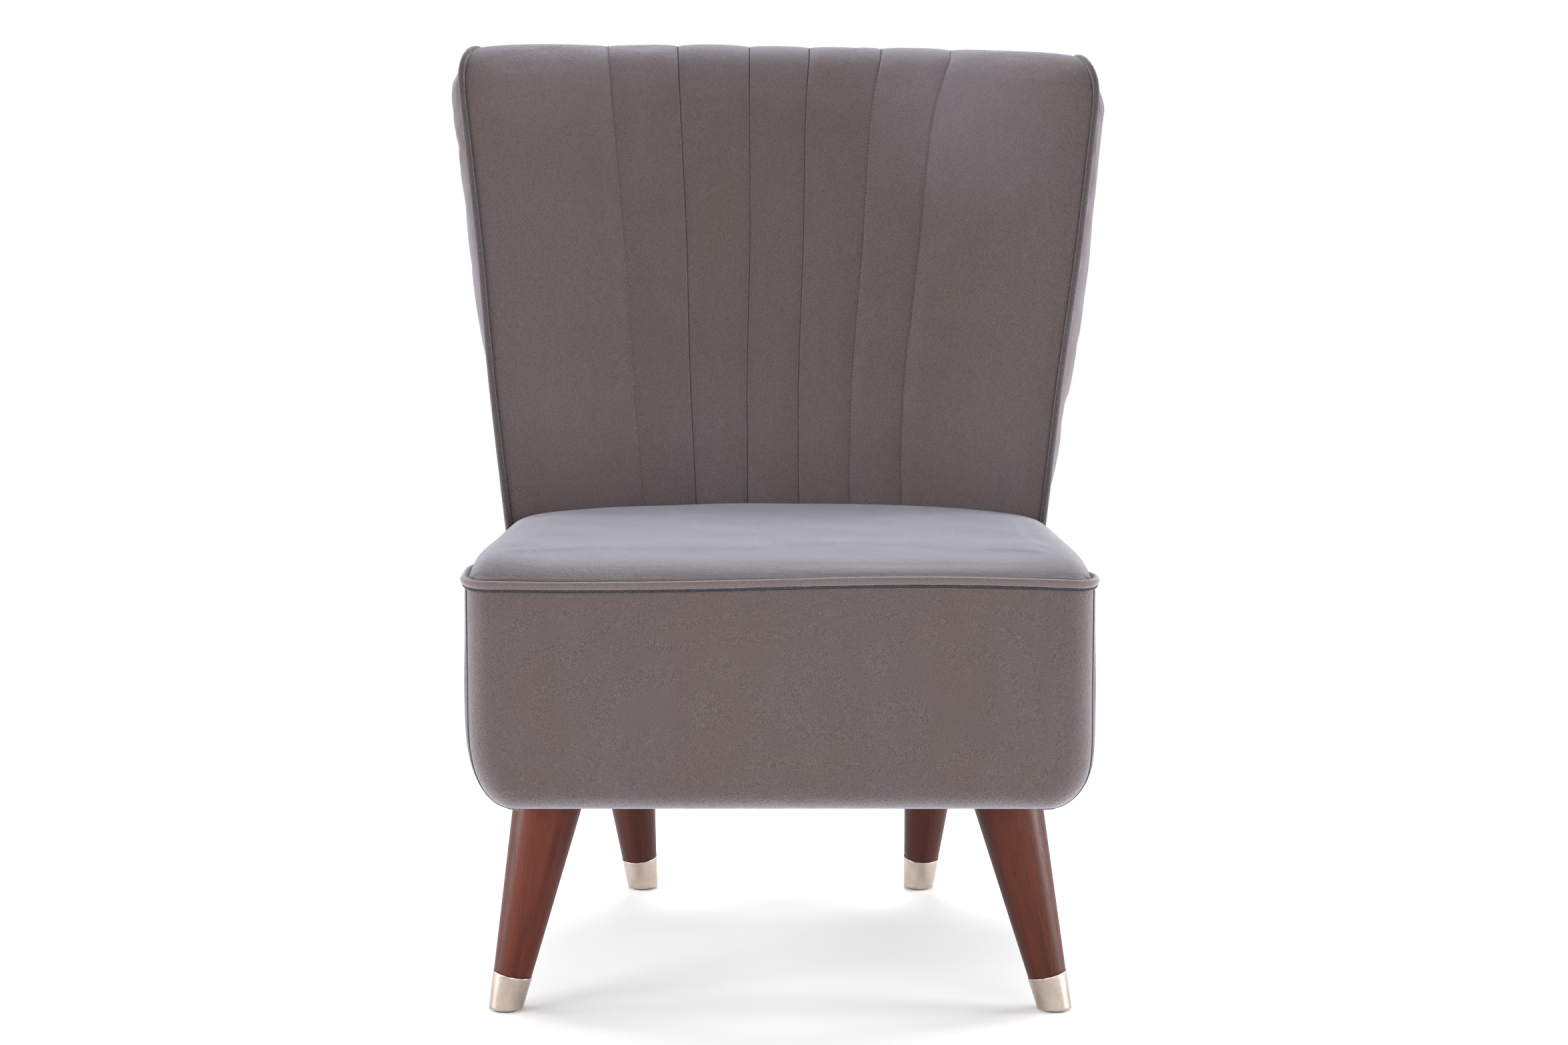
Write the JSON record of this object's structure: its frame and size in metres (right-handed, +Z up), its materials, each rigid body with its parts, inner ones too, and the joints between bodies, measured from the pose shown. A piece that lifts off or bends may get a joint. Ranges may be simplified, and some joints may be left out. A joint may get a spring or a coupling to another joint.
{
  "type": "accent chair",
  "caption": "Armless velvet accent chair with a concave, channel-stitched fan back, boxed piped seat and splayed tapered wooden legs in brass ferrules.",
  "frame": {"origin": "on the floor, under the middle of the chair's bounding box", "axes": "+Z up, the sitter faces -Y, +X to the right as seen from the front"},
  "size_m": [0.709, 0.7004, 0.919],
  "materials": {
    "velvet": "short-pile mink-grey velvet",
    "piping": "velvet-covered piping cord",
    "foam": "open-cell upholstery foam",
    "wadding": "polyester wadding",
    "felt": "needled felt",
    "dust_cloth": "black spun-bonded cloth",
    "frame_wood": "plain sawn softwood",
    "back_board": "bent plywood",
    "leg_wood": "red-brown stained, satin lacquer",
    "ferrule_brass": "pale brushed",
    "glide_plastic": "moulded",
    "steel": "zinc plated"
  },
  "bodies": {
    "root": {"seat_cover": "velvet", "front_border": "velvet", "side_border_left": "velvet", "side_border_right": "velvet", "rear_border": "velvet", "inside_back_cover": "velvet", "side_facing_left": "velvet", "side_facing_right": "velvet", "outside_back_cover": "velvet", "seat_piping": "piping", "back_piping_left": "piping", "back_piping_right": "piping", "seat_foam": "foam", "back_foam": "foam", "base_wadding": "wadding", "back_wadding": "wadding", "insulator_felt": "felt", "dust_cover": "dust_cloth", "back_lower_rail": "frame_wood", "back_top_rail": "frame_wood", "back_upright_left": "frame_wood", "back_upright_right": "frame_wood", "corner_block_front_left": "frame_wood", "corner_block_front_right": "frame_wood", "corner_block_rear_left": "frame_wood", "corner_block_rear_right": "frame_wood", "front_rail": "frame_wood", "rear_rail": "frame_wood", "side_rail_left": "frame_wood", "side_rail_right": "frame_wood", "back_board": "back_board", "leg_front_left": "leg_wood", "leg_front_right": "leg_wood", "leg_rear_left": "leg_wood", "leg_rear_right": "leg_wood", "ferrule_front_left": "ferrule_brass", "ferrule_front_right": "ferrule_brass", "ferrule_rear_left": "ferrule_brass", "ferrule_rear_right": "ferrule_brass", "glide_front_left": "glide_plastic", "glide_front_right": "glide_plastic", "glide_rear_left": "glide_plastic", "glide_rear_right": "glide_plastic", "carriage_bolts": "steel", "carriage_nuts": "steel", "frame_screws": "steel", "hanger_bolts": "steel", "tee_nuts": "steel", "seat_springs": "steel", "spring_clips": "steel"}
  },
  "joints": []
}
